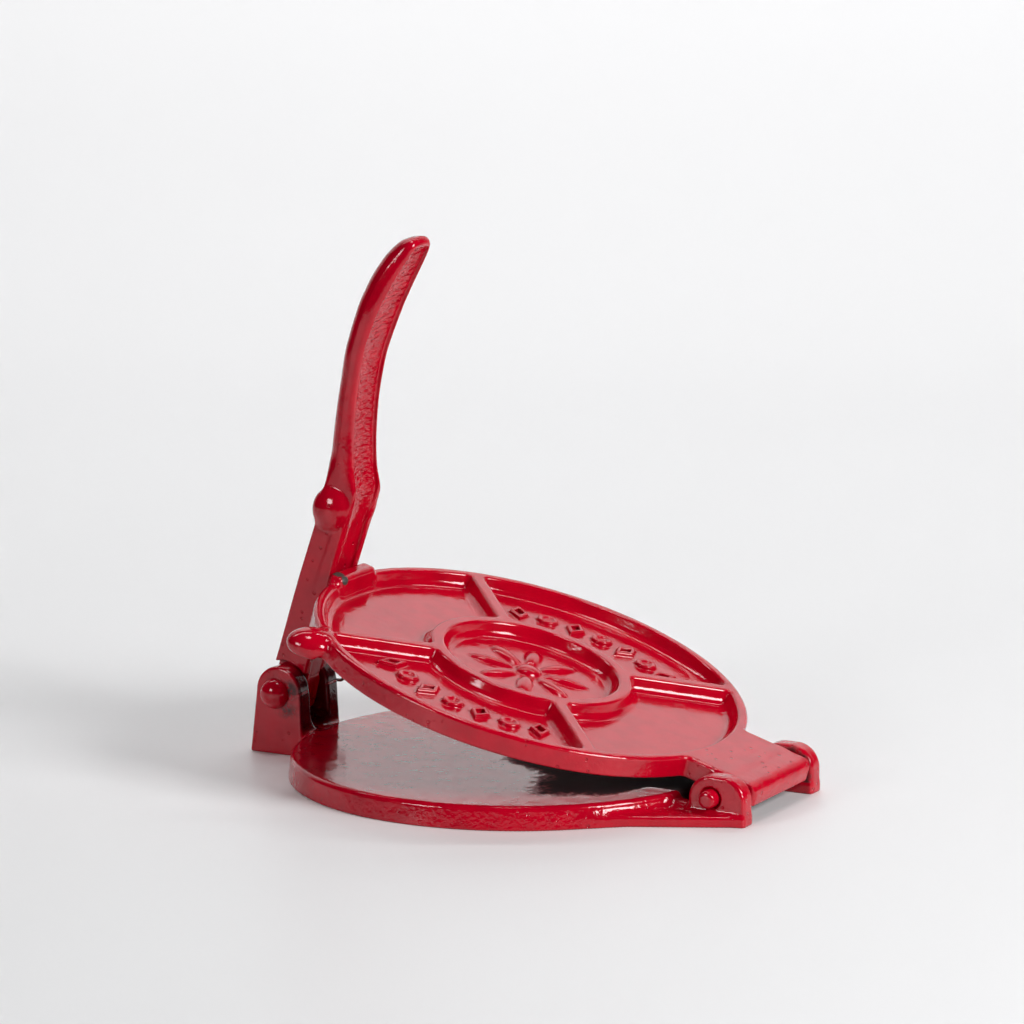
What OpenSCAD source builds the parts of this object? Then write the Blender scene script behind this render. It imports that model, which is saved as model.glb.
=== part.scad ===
// Cast-iron tortilla press: a round base with a hinge fork at one end and a clevis at the
// other, a hinged top plate with a sunk, ribbed upper side, and a pressing lever.
// +X points to the plate hinge, -X to the lever, +Z up; the origin is the middle of the
// base disc's underside. The plate stands open with the lever leaning on its nose.

/* [Base disc] */
// Diameter of the base disc
base_d = 196; // [180:1:215]
// Thickness of the base disc
base_t = 10.2; // [8.5:0.1:13]
// Rounding of the casting's long outer edges
edge_r = 1.8; // [1:0.1:2.4]

/* [Top plate] */
// How much smaller the top plate's radius is than the base's
plate_inset = 3.2; // [0:0.1:5]
// Thickness of the top plate at its rim
plate_t = 9.6; // [8.5:0.1:12]
// Thickness of the sunk floor between the ribs
floor_t = 3.4; // [2.6:0.1:4.5]
// Gap between the two pressing faces when the press is shut
close_gap = 0.3; // [0.2:0.05:1]
// Angle at which the plate stands open
open_angle = 16.8; // [14:0.1:16.8]
// Width of the rim on top
rim_w = 3.8; // [3.6:0.1:6]
// Width of the ribs and of the ring on top
rib_w = 5.2; // [4:0.1:8]
// Mean radius of the medallion ring
ring_r = 41.4; // [36:0.2:46]
// How far the ribs' tops lie below the rim and the ring
rib_drop = 0.3; // [0.2:0.1:1]
// Sideways run of the sloping walls of the rim, ribs and ring
wall_run = 2.4; // [1.5:0.1:3]

/* [Ornament] */
// Number of raised motifs in each long sector
motifs = 7; // [5:1:7]
// Radius of the arc of motifs
motif_r = 67.5; // [62:0.5:72]
// Length of a motif along the plate's radius
motif_len = 15; // [10:0.5:16]
// Height of the raised motifs
motif_h = 2; // [1:0.1:3]
// Number of petals of the rosette
petals = 8; // [5:1:8]
// Radius of the rosette
rosette_r = 27; // [20:0.5:30]

/* [Plate hinge] */
// How far the hinge axis lies beyond the base disc
hinge_reach = 12.6; // [12:0.1:18]
// Height of the hinge axis above the base disc's top
hinge_rise = 0.8; // [0.5:0.1:2]
// Diameter of the hinge pin
hinge_pin_d = 8; // [6:0.1:10]
// Clear width between the two hinge ears
fork_w = 57.6; // [48:0.2:62]
// Thickness of each hinge ear
hinge_ear_t = 8.6; // [6:0.1:11]
// Radius of the rounded top of the hinge ears
hinge_ear_r = 10.3; // [9:0.1:10.8]
// How much longer than round the hinge ears are, away from the disc
hinge_ear_len = 5.4; // [2:0.1:6]
// Thickness of the spreading flange at the foot of the hinge ears
flange_t = 4.6; // [3:0.1:7]
// Sideways gap between the plate's tongue and each ear
tongue_gap = 1.8; // [0.6:0.1:2]
// How far the tongue runs past the hinge axis
tongue_tail = 14.8; // [12:0.1:15]
// Rounding, seen from above, of the corners at the tongue's end
tongue_corner = 5; // [2:0.5:8]
// Radius of the knuckle under the tongue
knuckle_r = 8.2; // [7:0.1:9]

/* [Lever clevis] */
// How far the lever pin lies beyond the base disc
lever_reach = 12.5; // [12.2:0.1:14]
// Height of the lever pin's axis above the base disc's top
lever_rise = 16.8; // [16.8:0.1:20]
// Diameter of the lever pin
lever_pin_d = 8; // [6:0.1:10]
// Width of the slot that holds the lever's foot
slot_w = 15; // [14:0.1:18]
// Thickness of each clevis ear
clevis_ear_t = 9; // [7:0.1:11]
// Radius of the rounded top of the clevis ears
clevis_ear_r = 11; // [10:0.1:12]
// How far the ears' rounded top sits inward of the pin, and above it
clevis_shift = 0.9; // [0:0.1:1.5]
// Radial play between the pins and the moving castings
pin_play = 0.08; // [0.05:0.01:0.1]
// Radial play between the pins and the base's ears
ear_play = 0.05; // [0.02:0.01:0.1]

/* [Nose and lug of the plate] */
// Width of the nose that the lever presses
nose_w = 33; // [28:0.5:38]
// Height of the nose above the rim
nose_h = 3.8; // [3:0.1:4]
// How far the nose stands out past the rim
nose_out = 1.7; // [1:0.1:1.7]
// Depth of the nose along the plate
nose_d = 8; // [6:0.1:9]
// Rounding of the nose's edges
nose_r = 2.6; // [1.5:0.1:3]
// Direction of the lifting lug, from the hinge end
lug_angle = 132; // [126:1:138]
// How far the lifting lug stands out from the rim
lug_out = 16; // [10:0.5:18]
// Width of the lifting lug
lug_w = 19; // [16:0.5:24]
// Thickness of the lifting lug
lug_t = 10.8; // [9:0.2:14]
// Height of the lug's underside above the plate's pressing face
lug_lift = 0.4; // [0.2:0.1:1.5]

/* [Lever] */
// Gap that the leaning lever keeps from the nose with the plate open
lean_gap = 0.35; // [0.3:0.05:1]
// Length of the lever from the pin to the grip's end
lever_l = 214.5; // [190:0.5:230]
// Length of the straight arm between the pin and the grip
arm_l = 95; // [88:1:98]
// Depth of the arm in front of the pin's axis
arm_front = 7.7; // [7:0.1:8]
// Depth of the arm behind the pin's axis
arm_back = 7; // [6:0.1:10]
// Thickness of the lever's foot in the slot
foot_t = 11; // [9:0.1:12]
// Radius of the cam-shaped foot
foot_r = 11.4; // [10.4:0.1:11.6]
// Thickness of the arm just above the clevis
arm_low_t = 18; // [16:0.2:20]
// Thickness of the arm at the grip
arm_t = 23; // [20.2:0.2:24]
// Width of the arm's front flange
flange_w = 25; // [24:0.2:26]
// Width of the grip at its widest
grip_w = 24; // [21:0.2:28]
// Wall beside the hollow of the grip and arm
grip_wall = 3.4; // [3:0.1:5]
// Depth of the hollow in the grip and arm
grip_hollow = 3.2; // [2:0.1:5.5]
// Radius of the domed bosses on the arm
boss_r = 8.6; // [7:0.1:9]
// How far the domed bosses stand out
boss_out = 4.6; // [3:0.1:7]

/* [Pins] */
// Diameter of the lever pin's domed head
head_d = 14; // [12:0.1:16]
// Height of the lever pin's domed head
head_h = 5.4; // [3:0.1:6]
// How far the lever pin stands out behind the clevis
pin_end = 6.5; // [5:0.1:9]
// How far the hinge pin's flat ends stand out
hinge_pin_end = 4.6; // [1:0.1:6]
// Wire diameter of the spring clip
clip_d = 1.4; // [1:0.1:1.6]
// Distance from the lever pin to the middle of the clip's eye
clip_reach = 11.5; // [10:0.1:14]
// Radius of the clip's eye, to the middle of the wire
clip_eye_r = 2.2; // [1.8:0.1:3]
// Angle over which the clip's outer leg hugs the pin
clip_hug = 50; // [30:1:70]
// Gap between the pin and the leg that hugs it
clip_gap = 0.15; // [0.1:0.05:0.4]
// Radius of the flare at the end of the outer leg
clip_flare_r = 4; // [3:0.1:6]
// Angle over which the outer leg flares away
clip_flare = 60; // [40:1:80]
// How far the straight leg comes out past the pin
clip_tail = 6; // [4:0.5:9]

/* [Hidden] */
$fn = 96;
base_r = base_d / 2;
plate_r = base_r - plate_inset;
iron_red = [0.75, 0.02, 0.12];
steel = [0.62, 0.62, 0.6];

// Hinge axis and lever axis, both parallel to Y
hinge_x = base_r + hinge_reach;
hinge_z = base_t + hinge_rise;
lever_x = -(base_r + lever_reach);
lever_z = base_t + lever_rise;

// Plate heights with the press shut
plate_z = base_t + close_gap;
plate_top = plate_z + plate_t;
floor_z = plate_z + floor_t;
sink = plate_t - floor_t;

// Lean of the lever at which the front of its arm comes lean_gap short of the nose's round
nose_c = [-(plate_r + nose_out) + nose_r, plate_top + nose_h - nose_r] - [hinge_x, hinge_z];
nose_v = [hinge_x + nose_c[0] * cos(open_angle) + nose_c[1] * sin(open_angle) - lever_x,
          hinge_z - nose_c[0] * sin(open_angle) + nose_c[1] * cos(open_angle) - lever_z];
lever_lean = acos((arm_front + lean_gap + nose_r) / norm(nose_v)) - atan2(nose_v[1], nose_v[0]);

tongue_w = fork_w - 2 * tongue_gap;
fork_out = fork_w / 2 + hinge_ear_t;
clevis_w = slot_w + 2 * clevis_ear_t;
ear_end = hinge_x + hinge_ear_len + hinge_ear_r;
slot_floor = base_t;

// A thin slab of sand-cast edge rounding is drawn with this many steps
round_steps = 4;

// Points of a quarter circle of radius r about c, from angle a by 90 degrees
function quarter(c, r, a) =
    [for (i = [0 : round_steps]) c + r * [cos(a + 90 * i / round_steps), sin(a + 90 * i / round_steps)]];

// A disc of radius r and height h whose two outer edges are rounded
module round_disc(r, h, e) {
    rotate_extrude()
        polygon(concat([[0, 0]], quarter([r - e, e], e, -90), quarter([r - e, h - e], e, 0), [[0, h]]));
}

// Turns what is drawn in the shut position about the hinge axis by angle a
module swing(a) {
    translate([hinge_x, 0, hinge_z])
        rotate([0, a, 0])
            translate([-hinge_x, 0, -hinge_z])
                children();
}

// A cylinder along Y, w wide and centred on y = 0, at (x, z)
module cross_bar(x, z, r, w) {
    translate([x, w / 2, z])
        rotate([90, 0, 0])
            cylinder(r = r, h = w);
}

// A flat XZ outline drawn in 2D, made w thick and centred on y = 0
module upright(w) {
    translate([0, w / 2, 0])
        rotate([90, 0, 0])
            linear_extrude(w)
                children();
}

// A closed skin over rings of points that run the same way; cap lists the faces of one end
module skin(rings, cap) {
    n = len(rings[0]);
    last = (len(rings) - 1) * n;
    sides = [for (j = [0 : len(rings) - 2], i = [0 : n - 1])
        let (a = j * n + i, b = j * n + (i + 1) % n)
        each [[a, b + n, b], [a, a + n, b + n]]];
    polyhedron(points = [for (ring = rings, p = ring) p],
        faces = concat(sides, cap, [for (f = cap) [for (i = [len(f) - 1 : -1 : 0]) last + f[i]]]));
}

// ---- Base ----

// Side outline of a hinge ear: two rounds side by side over a straight foot
module hinge_ear_outline() {
    for (dx = [0, hinge_ear_len])
        translate([hinge_x + dx, hinge_z - 0.9])
            circle(hinge_ear_r);
    translate([hinge_x - hinge_ear_r, 0])
        square([hinge_ear_len + 2 * hinge_ear_r, hinge_z - 0.9]);
    translate([hinge_x, 0])
        square([hinge_ear_len, hinge_z - 0.9 + hinge_ear_r]);
}

// The low web that ties each ear to the disc, sloping down from the disc's top
module hinge_web_outline() {
    polygon([[base_r * 0.8, 0], [base_r * 0.8, base_t], [base_r - 6, base_t],
             [hinge_x - hinge_ear_r + 2, base_t * 0.72], [hinge_x, base_t * 0.72], [hinge_x, 0]]);
}

// Plan of the flange on one side: a wedge from the ear's end that blends into the disc
flange_tip = [ear_end, fork_out + 1];
flange_mid = [base_r * 0.86, base_r * 0.586];
module flange_plan() {
    polygon([[base_r * 0.7, fork_w / 2], [ear_end, fork_w / 2], flange_tip, flange_mid,
             [base_r * 0.775, base_r * 0.64], [base_r * 0.715, base_r * 0.697], [base_r * 0.6, base_r * 0.7]]);
}

module hinge_fork() {
    for (side = [0, 1])
        mirror([0, side, 0]) {
            translate([0, fork_w / 2 + hinge_ear_t / 2, 0]) {
                upright(hinge_ear_t) hinge_ear_outline();
                upright(hinge_ear_t) hinge_web_outline();
            }
            linear_extrude(flange_t) flange_plan();
        }
}

// Side outline of the clevis: a foot that leans in slightly, under a round top
ear_cx = lever_x + clevis_shift;
ear_cz = lever_z + clevis_shift;
module clevis_outline() {
    translate([ear_cx, ear_cz]) circle(clevis_ear_r);
    polygon([[ear_cx - clevis_ear_r - 3.4, 0], [ear_cx - clevis_ear_r, ear_cz],
             [ear_cx + clevis_ear_r, ear_cz], [ear_cx + clevis_ear_r + 1.6, base_t],
             [ear_cx + clevis_ear_r + 6, base_t], [ear_cx + clevis_ear_r + 6, 0]]);
}

// Slot with a round bottom for the lever's foot
module clevis_slot() {
    slot_run = 2 * clevis_ear_r;
    translate([ear_cx - slot_run, 0, slot_floor + slot_w / 2])
        rotate([0, 90, 0])
            cylinder(d = slot_w, h = 2 * slot_run);
    translate([ear_cx - slot_run, -slot_w / 2, slot_floor + slot_w / 2])
        cube([2 * slot_run, slot_w, ear_cz + clevis_ear_r]);
}

module base() {
    color(iron_red)
        difference() {
            union() {
                round_disc(base_r, base_t, edge_r);
                hinge_fork();
                upright(clevis_w) clevis_outline();
            }
            clevis_slot();
            cross_bar(hinge_x, hinge_z, hinge_pin_d / 2 + ear_play, 2 * fork_out + 10);
            cross_bar(lever_x, lever_z, lever_pin_d / 2 + ear_play, clevis_w + 10);
        }
}

// ---- Top plate, drawn shut and then swung open ----

// Half-section of the plate: rounded rim, sloping inner wall, sunk floor
module plate_section() {
    inner = plate_r - rim_w;
    polygon(concat(
        [[0, plate_z]],
        quarter([plate_r - edge_r, plate_z + edge_r], edge_r, -90),
        quarter([plate_r - edge_r, plate_top - edge_r], edge_r, 0),
        [[inner + 0.8, plate_top], [inner, plate_top - 0.6],
         [inner - wall_run * 0.62, floor_z + 1.6], [inner - wall_run, floor_z + 0.5],
         [inner - wall_run - 1.4, floor_z], [0, floor_z]]));
}

// Cross-section of a rib or of the ring, h high: a flat top on sloping, softened walls
function rib_points(w, h) =
    let (side = [[w / 2 - 0.8, h], [w / 2, h * 0.9], [w / 2 + 0.4 * wall_run, h * 0.55],
                 [w / 2 + wall_run, h * 0.08], [w / 2 + wall_run + 1.2, 0], [w / 2 + wall_run + 1.2, -1]])
    concat(side, [for (i = [len(side) - 1 : -1 : 0]) [-side[i][0], side[i][1]]]);

module rib(a) {
    rotate([0, 0, a])
        translate([ring_r, 0, floor_z])
            rotate([90, 0, 90])
                linear_extrude(plate_r - rim_w - ring_r + 1)
                    polygon(rib_points(rib_w, sink - rib_drop));
}

module ring() {
    translate([0, 0, floor_z])
        rotate_extrude()
            translate([ring_r, 0])
                polygon(rib_points(rib_w, sink));
}

// Raised motifs in turn: lozenge, round stud, lozenge
module motif_row(middle) {
    step = 66 / (motifs - 1);
    for (i = [0 : motifs - 1])
        rotate([0, 0, middle + (i - (motifs - 1) / 2) * step])
            translate([motif_r, 0, floor_z - 0.5])
                if (i % 2 == 0)
                    linear_extrude(motif_h + 0.5)
                        polygon([[-motif_len / 2, 0], [0, -motif_len / 3.4],
                                 [motif_len / 2, 0], [0, motif_len / 3.4]]);
                else
                    dome(motif_len / 3, motif_h, 0.5);
}

// A low round dome of radius r and height h on a skirt of depth foot
module dome(r, h, foot) {
    ball = (r * r + h * h) / (2 * h);
    rotate_extrude()
        polygon(concat([[0, 0], [r, 0]],
            [for (i = [0 : 5]) let (x = r * (1 - i / 5))
                [x, foot + h - ball + sqrt(ball * ball - x * x)]]));
}

// A petal is where two circles overlap
module petal() {
    half = rosette_r * 0.36;
    lens = (half * half + 16) / 8;
    linear_extrude(motif_h + 0.5)
        intersection() {
            translate([0, lens - 4]) circle(lens);
            translate([0, 4 - lens]) circle(lens);
        }
}

module rosette() {
    for (i = [0 : petals - 1])
        rotate([0, 0, (i + 0.5) * 360 / petals])
            translate([rosette_r * 0.62, 0, floor_z - 0.5])
                petal();
    translate([0, 0, floor_z - 0.5])
        dome(rosette_r * 0.2, motif_h + 0.6, 0.5);
}

// Side outline of the tongue over its knuckle, with a rounded end
tongue_r = 3;
module tongue_outline() {
    x0 = plate_r - rim_w - 1;
    x1 = hinge_x + tongue_tail;
    polygon([[x0, plate_z], [x1 - 1, plate_z], [x1, plate_z + 1],
             [x1, plate_top - tongue_r], [x1 - 0.4, plate_top - 1.5], [x1 - 1.5, plate_top - 0.4],
             [x1 - tongue_r, plate_top], [x0, plate_top]]);
    translate([hinge_x, hinge_z]) circle(knuckle_r);
}

// The tongue itself: that outline, with the corners of its end rounded seen from above
module tongue() {
    intersection() {
        upright(tongue_w) tongue_outline();
        linear_extrude(plate_top + 1)
            hull() {
                translate([0, -tongue_w / 2]) square([hinge_x, tongue_w]);
                for (side = [-1, 1])
                    translate([hinge_x + tongue_tail - tongue_corner, side * (tongue_w / 2 - tongue_corner)])
                        circle(tongue_corner);
            }
    }
}

// The nose that the lever presses, rounded along its top
module nose() {
    x0 = -(plate_r + nose_out);
    x1 = x0 + nose_d;
    z1 = plate_top + nose_h;
    r = nose_r;
    intersection() {
        upright(nose_w)
            polygon(concat(
                [[x0 + 1.6, plate_z + edge_r], [x1 + 1.6, floor_z - 0.5], [x1, floor_z + 2]],
                quarter([x1 - r, z1 - r], r, 0),
                quarter([x0 + r, z1 - r], r, 90)));
        translate([x0 - 2, 0, 0])
            rotate([90, 0, 90])
                linear_extrude(nose_d + 6)
                    polygon(concat(
                        [[-nose_w / 2, 0], [nose_w / 2, 0]],
                        quarter([nose_w / 2 - r, z1 - r], r, 0),
                        quarter([-nose_w / 2 + r, z1 - r], r, 90)));
    }
}

// A blunt peg pointing along +X from x = 0, with a domed end
module blunt_peg(r, l) {
    rotate([0, 90, 0])
        rotate_extrude($fn = 32)
            polygon(concat([[0, 0], [r, 0]],
                [for (i = [0 : 5]) [r * cos(18 * i), l - r + r * sin(18 * i)]]));
}

module lifting_lug() {
    root = 8;
    spread = (lug_w - lug_t) / 2;
    rotate([0, 0, -lug_angle])
        translate([plate_r - root, 0, plate_z + lug_lift + lug_t / 2])
            hull()
                for (y = [-spread, spread])
                    translate([0, y, 0])
                        blunt_peg(lug_t / 2, lug_out + root);
}

module top_plate() {
    color(iron_red)
        swing(open_angle)
            difference() {
                union() {
                    rotate_extrude() plate_section();
                    ring();
                    for (a = [45, 135, 225, 315]) rib(a);
                    motif_row(90);
                    motif_row(-90);
                    rosette();
                    difference() {
                        tongue();
                        cylinder(r = plate_r - rim_w + 1, h = plate_top + 5);
                    }
                    nose();
                    lifting_lug();
                }
                cross_bar(hinge_x, hinge_z, hinge_pin_d / 2 + pin_play, tongue_w + 10);
            }
}

// ---- Lever, drawn upright on its pin and then leaned ----

// Places what is drawn about the pin's axis, with the lever's length along Z
module lean() {
    translate([lever_x, 0, lever_z])
        rotate([0, lever_lean, 0])
            children();
}

// Arm seen from the front: the narrow foot, a shoulder that clears the clevis ears, and a
// bar that thickens upwards
ears_top = clevis_ear_r + 1.5 * clevis_shift;
module arm_front_plan() {
    half = [[foot_t / 2, -foot_r], [foot_t / 2, ears_top], [arm_low_t / 2, ears_top + 6],
            [arm_t / 2, arm_l * 0.85], [arm_t / 2, arm_l + 10]];
    polygon(concat(half, [for (i = [len(half) - 1 : -1 : 0]) [-half[i][0], half[i][1]]]));
}

// Front flanges: start clear of the clevis ears and widen upwards
flange_start = clevis_ear_r + 2 * clevis_shift + 8;
module arm_flange_plan() {
    polygon([[-foot_t / 2, flange_start], [foot_t / 2, flange_start],
             [flange_w / 2, flange_start + 14], [flange_w / 2, arm_l],
             [-flange_w / 2, arm_l], [-flange_w / 2, flange_start + 14]]);
}

// Draws a plan of (y, z) points as a slab between two depths x0 and x1
module front_slab(x0, x1) {
    translate([x0, 0, 0])
        rotate([90, 0, 90])
            linear_extrude(x1 - x0)
                children();
}

module arm() {
    intersection() {
        front_slab(-arm_back - 5, foot_r + 5) arm_front_plan();
        upright(arm_t + 2)
            union() {
                circle(foot_r);
                translate([-arm_back, 0]) square([arm_back + arm_front, arm_l]);
            }
    }
    intersection() {
        front_slab(0.5, arm_front) arm_flange_plan();
        front_slab(0, arm_front + 1) translate([-flange_w, 0]) square([2 * flange_w, arm_l]);
    }
}

module arm_hollow() {
    half = flange_w / 2 - grip_wall - 1;
    front_slab(arm_front - grip_hollow, arm_front + 5)
        polygon([[-half * 0.5, flange_start + 12], [half * 0.5, flange_start + 12],
                 [half, flange_start + 22], [half, arm_l + 3], [-half, arm_l + 3], [-half, flange_start + 22]]);
}

// Grip: sections along the lever's length. Each row is the share of the grip's length,
// the depth of its front and of its back from the pin's axis, and its share of the width
grip_rows = [
    [-0.02, 7.7, -7.6, 0.96], [0.10, 3.8, -10.3, 0.88], [0.24, -1.7, -12.9, 0.86],
    [0.385, -4.9, -15.6, 0.89], [0.545, -7.0, -17.2, 0.97], [0.685, -6.5, -16.9, 1.04],
    [0.805, -4.0, -15.4, 0.94], [0.90, -1.7, -12.6, 0.82], [0.96, -0.3, -8.8, 0.68],
    [1.0, 0.4, -4.0, 0.42]];

// Smooth curve through four values, at fraction u between the middle two
function blend4(a, b, c, d, u) =
    0.5 * (2 * b + (c - a) * u + (2 * a - 5 * b + 4 * c - d) * u * u
           + (3 * b - a - 3 * c + d) * u * u * u);
function row_at(i) = grip_rows[max(0, min(len(grip_rows) - 1, i))];
function grip_at(t) =
    let (i = floor(t), u = t - i)
    [for (k = [0 : 3]) blend4(row_at(i - 1)[k], row_at(i)[k], row_at(i + 1)[k], row_at(i + 2)[k], u)];

// Section of the grip at one station, as (depth, y) points: round back, hollow front
function grip_section(front, back, w) =
    let (r = min(5.5, (front - back) * 0.55, w * 0.45),
         d = min(grip_hollow, (front - back) * 0.5),
         wall = min(grip_wall, w * 0.28))
    concat(
        [[front, w / 2 - 0.8], [front - 0.8, w / 2]],
        [for (i = [0 : 4]) [back + r - r * sin(22.5 * i), w / 2 - r + r * cos(22.5 * i)]],
        [for (i = [4 : -1 : 0]) [back + r - r * sin(22.5 * i), -(w / 2 - r + r * cos(22.5 * i))]],
        [[front - 0.8, -w / 2], [front, -w / 2 + 0.8],
         [front - 0.3, -w / 2 + wall], [front - d, -w / 2 + wall + 1],
         [front - d, w / 2 - wall - 1], [front - 0.3, w / 2 - wall]]);

// Faces that close a section, which is notched by the hollow
grip_cap = [[0, 1, 17], [1, 2, 16, 17], [2, 3, 16], [3, 10, 15, 16], [3, 4, 9, 10],
            [4, 5, 8, 9], [5, 6, 7, 8], [10, 11, 15], [11, 12, 14, 15], [12, 13, 14]];
grip_steps = 3;
grip_stations = (len(grip_rows) - 1) * grip_steps;
grip_l = lever_l - arm_l;

module grip() {
    sections = [for (j = [0 : grip_stations])
        let (g = grip_at(j / grip_steps))
        [for (p = grip_section(g[1], g[2], g[3] * grip_w)) [p[0], p[1], arm_l + g[0] * grip_l]]];
    skin(sections, grip_cap);
}

// Domed boss on each side of the arm, taller than it is wide
module bosses() {
    mid = -0.8;
    for (side = [0, 1])
        mirror([0, side, 0])
            hull()
                for (dz = [-3, 3])
                    translate([mid, arm_t / 2 - 1, arm_l - 6 + dz])
                        rotate([-90, 0, 0])
                            rotate_extrude($fn = 32)
                                polygon(concat([[0, 0]],
                                    [for (i = [0 : 5]) [boss_r * cos(18 * i), 1 + boss_out * sin(18 * i)]]));
}

module lever() {
    color(iron_red)
        lean()
            difference() {
                union() {
                    difference() {
                        arm();
                        arm_hollow();
                    }
                    grip();
                    bosses();
                }
                cross_bar(0, 0, lever_pin_d / 2 + pin_play, arm_t + 10);
            }
}

// ---- Pins and clip ----

// Rod with flat, slightly chamfered ends that stand out of the outer ears
module hinge_pin() {
    r = hinge_pin_d / 2;
    half = fork_out + hinge_pin_end;
    bevel = 0.6;
    color(iron_red)
        translate([hinge_x, half, hinge_z])
            rotate([90, 0, 0])
                rotate_extrude()
                    polygon([[0, 0], [r - bevel, 0], [r, bevel], [r, 2 * half - bevel],
                             [r - bevel, 2 * half], [0, 2 * half]]);
}

// Where the clip's cross hole goes through the lever pin
clip_y = clevis_w / 2 + pin_end * 0.5;

module lever_pin() {
    r = lever_pin_d / 2;
    y0 = -clevis_w / 2 - 0.1;
    y1 = clevis_w / 2 + pin_end;
    color(iron_red)
        difference() {
            union() {
                translate([lever_x, y0, lever_z])
                    rotate([-90, 0, 0])
                        rotate_extrude()
                            polygon([[0, 0], [r, 0], [r, y1 - y0 - 1], [r - 1, y1 - y0], [0, y1 - y0]]);
                translate([lever_x, y0, lever_z])
                    rotate([90, 0, 0])
                        rotate_extrude()
                            polygon(concat([[0, 0]],
                                [for (i = [0 : 8]) [head_d / 2 * cos(11.25 * i), head_h * sin(11.25 * i)]]));
            }
            translate([lever_x - r - 1, clip_y, lever_z])
                rotate([0, 90, 0])
                    cylinder(d = clip_d + 0.2, h = 2 * r + 2);
        }
}

// Stations [x, z, heading] along a wire's bend of radius r about c, turning from angle a0 to
// a1; it heads on to the left where a1 > a0, and to the right where it is less
function wire_bend(c, r, a0, a1, from) =
    let (steps = max(2, round(abs(a1 - a0) / 14)), side = a1 > a0 ? 90 : -90)
    [for (i = [from : steps]) let (a = a0 + (a1 - a0) * i / steps)
        [c[0] + r * cos(a), c[1] + r * sin(a), a + side]];

// Spring clip: a straight leg through the pin, a round eye, and a leg that hugs the pin
// and flares away. The bends meet the straight stretches along common tangents.
module spring_clip() {
    sides = 12;
    eye = [clip_reach, clip_eye_r];
    hug_r = lever_pin_d / 2 + clip_d / 2 + clip_gap;
    flare_r = hug_r + clip_flare_r;
    // Direction in which the tangent over eye and pin faces
    up = atan2(eye[1], eye[0]) + acos((hug_r - clip_eye_r) / norm(eye));
    past = up + clip_hug;
    path = concat([[-lever_pin_d / 2 - clip_tail, 0, 0]],
        wire_bend(eye, clip_eye_r, -90, up, 0),
        wire_bend([0, 0], hug_r, up, past, 0),
        wire_bend([flare_r * cos(past), flare_r * sin(past)], clip_flare_r, past + 180, past + 180 - clip_flare, 1));
    color(steel)
        translate([lever_x, clip_y, lever_z])
            skin([for (p = path)
                     [for (j = [0 : sides - 1]) let (a = 360 * j / sides, d = clip_d / 2 * cos(a))
                         [p[0] - d * sin(p[2]), -clip_d / 2 * sin(a), p[1] + d * cos(p[2])]]],
                 [[for (j = [0 : sides - 1]) j]]);
}

base();
top_plate();
lever();
hinge_pin();
lever_pin();
spring_clip();
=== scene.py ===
"""Dresses the tortilla press: sand-cast iron under gloss crimson enamel, painted pins, a wire clip.

The castings are level surfaces of distance functions, in millimetres, whose edges and inner
corners are rounded as paint over sand-cast iron rounds them. Pins and clip are profiles carried
round an axis or along a path.
"""
import math

import bpy
import numpy as np
from mathutils import Matrix


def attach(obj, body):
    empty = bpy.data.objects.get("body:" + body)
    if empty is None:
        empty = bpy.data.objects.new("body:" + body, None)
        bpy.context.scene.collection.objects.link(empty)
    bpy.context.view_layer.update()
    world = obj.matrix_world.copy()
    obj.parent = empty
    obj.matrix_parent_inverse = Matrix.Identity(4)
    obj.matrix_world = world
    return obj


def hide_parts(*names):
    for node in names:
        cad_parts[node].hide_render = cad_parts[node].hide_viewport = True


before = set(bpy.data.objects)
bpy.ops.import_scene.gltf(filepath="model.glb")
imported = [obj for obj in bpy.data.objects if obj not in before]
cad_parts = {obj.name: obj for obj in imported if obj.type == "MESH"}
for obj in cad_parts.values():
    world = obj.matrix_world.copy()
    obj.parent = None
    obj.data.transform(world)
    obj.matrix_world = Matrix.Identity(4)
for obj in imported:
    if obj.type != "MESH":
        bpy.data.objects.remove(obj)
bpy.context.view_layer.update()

COARSE = 1.0

# ---- Sizes, in millimetres ----
# They are the solids' own, but for small relief: the plate's rim stands 1 mm further out than
# the solid's, and its tongue is 0.4 mm wider on each side
BASE_R, BASE_T = 97.9, 10.2
PLATE_R, PLATE_T, PLATE_Z, FLOOR = 95.8, 9.6, 10.5, 3.4
RIM_W, RIB_W, RING_R = 4.3, 5.2, 41.4
MOTIF_R, MOTIF_STEP, MOTIF_H = 67.5, 11, 2.0
OPEN = math.radians(16.8)
HINGE = np.array([110.6, 0.0, 11.0])
FORK, EAR_T, EAR_R, EAR_LEN = 28.8, 8.6, 10.3, 5.3
TONGUE, KNUCKLE_R = 27.4, 8.2
PIVOT = np.array([-110.5, 0.0, 27.0])
LEAN = math.radians(17.905)
CLEVIS_W, CLEVIS_R, SLOT = 16.5, 11.0, 7.5
PIN_R, EAR_BORE, RUNNING_BORE = 4.0, 4.05, 4.08
DRAFT = 0.11
BELOW = -9.0  # where outlines that run out through the underside end, before it is cut flat


# ---- Distance functions ----
def meet(a, b, r):
    """What lies in both shapes, given their signed distances a and b. The edge where they meet
    is rounded to radius r: the distance is the length of (a + r, b + r), less r."""
    past = np.hypot(np.maximum(a + r, 0), np.maximum(b + r, 0))
    return np.minimum(np.maximum(a, b) + r, 0) + past - r


def join(a, b, r):
    """What lies in either shape, with a fillet of radius r in the corner between them."""
    return -meet(-a, -b, r)


def slab(u, half):
    """Signed distance to a slab of half thickness half about u = 0."""
    return np.abs(u) - half


def oblong(u, v, hu, hv, r=0.0):
    """Signed distance to a rectangle of half sizes hu, hv with corners rounded to radius r."""
    return meet(np.abs(u) - hu, np.abs(v) - hv, r)


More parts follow.
